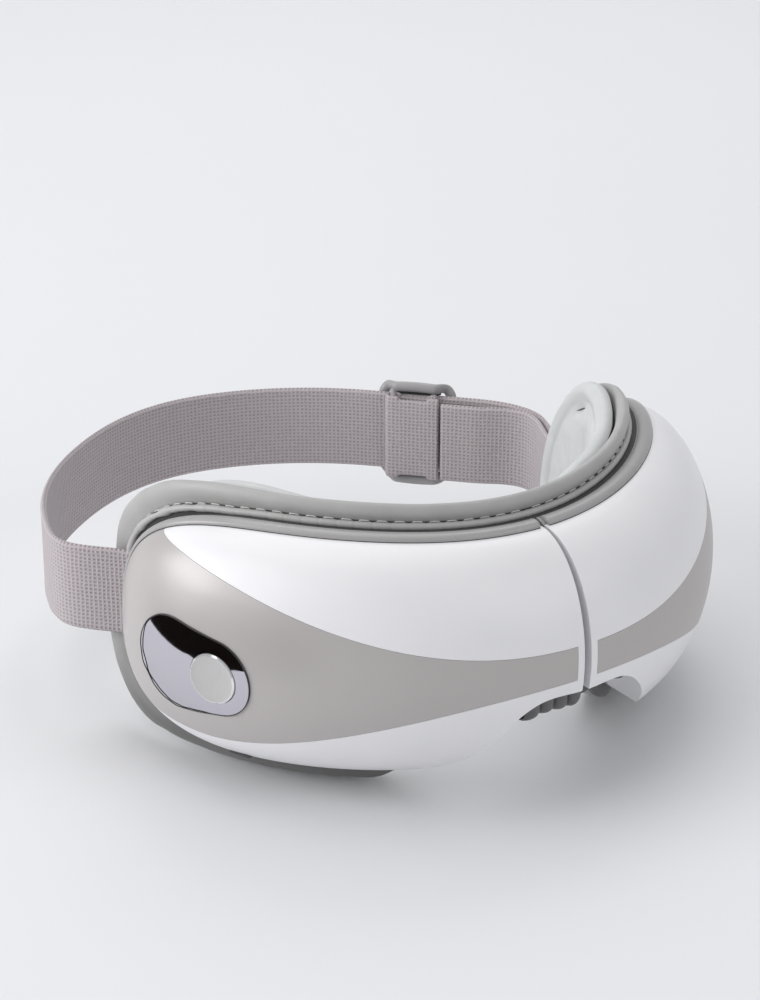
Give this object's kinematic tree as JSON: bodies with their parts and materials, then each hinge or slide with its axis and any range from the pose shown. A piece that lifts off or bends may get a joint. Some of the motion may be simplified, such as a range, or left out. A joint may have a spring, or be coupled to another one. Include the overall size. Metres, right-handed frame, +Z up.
{
  "type": "eye massager",
  "caption": "Wrap-round padded eye massager in two hinged half shells, with temple power button, air-cell eye pads and an elastic head strap with slider.",
  "frame": {"origin": "centre of the bounding box's foot: on the standing surface", "axes": "+Z up, -Y the way the wearer looks, +X to the wearer's left"},
  "size_m": [0.2052, 0.2302, 0.0969],
  "materials": {
    "shell_white": "satin white moulding",
    "trim_taupe": "fine matt taupe",
    "rim_grey": "matt grey moulding",
    "panel_chrome": "mirror plating",
    "button_grey": "satin with a bright edge",
    "cushion_leather": "soft grey leatherette",
    "pad_skin": "pale soft leatherette over foam",
    "gusset_leather": "dark pleated leatherette",
    "strap_band": "woven mauve-grey elastic",
    "slider_plastic": "moulded grey",
    "steel": "plain steel",
    "brass_weight": "turned",
    "cell_wrap": "wrapped cell",
    "pump_metal": "drawn can",
    "inner_plastic": "black moulding",
    "board_green": "circuit board",
    "air_skin": "translucent elastomer film",
    "film_copper": "printed heating film",
    "tube_rubber": "silicone tube",
    "ribbon_film": "flat cable"
  },
  "bodies": {
    "right_half": {"control_panel": "panel_chrome", "cushion_bridge": "cushion_leather", "nose_gusset": "gusset_leather", "hinge_pin": "steel", "bridge_air_tube": "tube_rubber", "bridge_ribbon": "ribbon_film", "main_board": "board_green", "board_screws": "steel", "tact_switch": "inner_plastic", "charging_socket": "steel", "battery": "cell_wrap", "strap_right_run": "strap_band", "right_shell": "shell_white", "right_trim": "trim_taupe", "right_rear_frame": "rim_grey", "right_face_cushion": "cushion_leather", "right_eye_pad": "pad_skin", "right_airbag": "air_skin", "right_heating_film": "film_copper", "right_vibration_motor": "steel", "right_frame_screws": "steel", "right_strap_anchor": "inner_plastic"},
    "left_half": {"left_shell": "shell_white", "left_trim": "trim_taupe", "left_rear_frame": "rim_grey", "left_face_cushion": "cushion_leather", "left_eye_pad": "pad_skin", "left_airbag": "air_skin", "left_heating_film": "film_copper", "left_vibration_motor": "steel", "left_frame_screws": "steel", "left_strap_anchor": "inner_plastic", "pump_motor": "pump_metal", "pump_head": "inner_plastic", "pump_tube": "tube_rubber", "solenoid_valve": "inner_plastic", "strap_left_run": "strap_band", "strap_return_layer": "strap_band"},
    "power_button": {"power_button": "button_grey"},
    "strap_back": {"strap_rear_run": "strap_band"},
    "strap_slider": {"strap_slider": "slider_plastic", "strap_sewn_loop": "strap_band"},
    "right_weight": {"right_motor_weight": "brass_weight"},
    "left_weight": {"left_motor_weight": "brass_weight"}
  },
  "joints": [
    {"name": "fold_hinge", "type": "hinge", "parent": "right_half", "child": "left_half", "pos_m": [0, -0.086, 0], "axis": [0, 0, 1], "range_deg": [-3.5, 60], "deforming": ["strap_right_run", "strap_left_run", "strap_return_layer", "cushion_bridge", "nose_gusset", "bridge_air_tube", "bridge_ribbon"]},
    {"name": "strap_bend", "type": "hinge", "parent": "right_half", "child": "strap_back", "pos_m": [0, -0.086, 0], "axis": [0, 0, 1], "range_deg": [-3, 46]},
    {"name": "slider_slide", "type": "slide", "parent": "strap_back", "child": "strap_slider", "axis": [0.6874, -0.7263, 0], "range_m": [-0.008, 0.008]},
    {"name": "button_press", "type": "slide", "parent": "right_half", "child": "power_button", "axis": [0.9211, 0.3893, 0], "range_m": [0, 0.0006], "stiffness_N_per_m": 1500, "springref_m": -0.0004},
    {"name": "right_weight_spin", "type": "hinge", "parent": "right_half", "child": "right_weight", "pos_m": [-0.06461, -0.05904, 0.029], "axis": [0, 0, 1], "continuous": true},
    {"name": "left_weight_spin", "type": "hinge", "parent": "left_half", "child": "left_weight", "pos_m": [0.06461, -0.05904, 0.029], "axis": [0, 0, 1], "continuous": true}
  ],
  "couplings": [
    {"joint": "strap_bend", "follows": "fold_hinge", "ratio": 0.741}
  ]
}
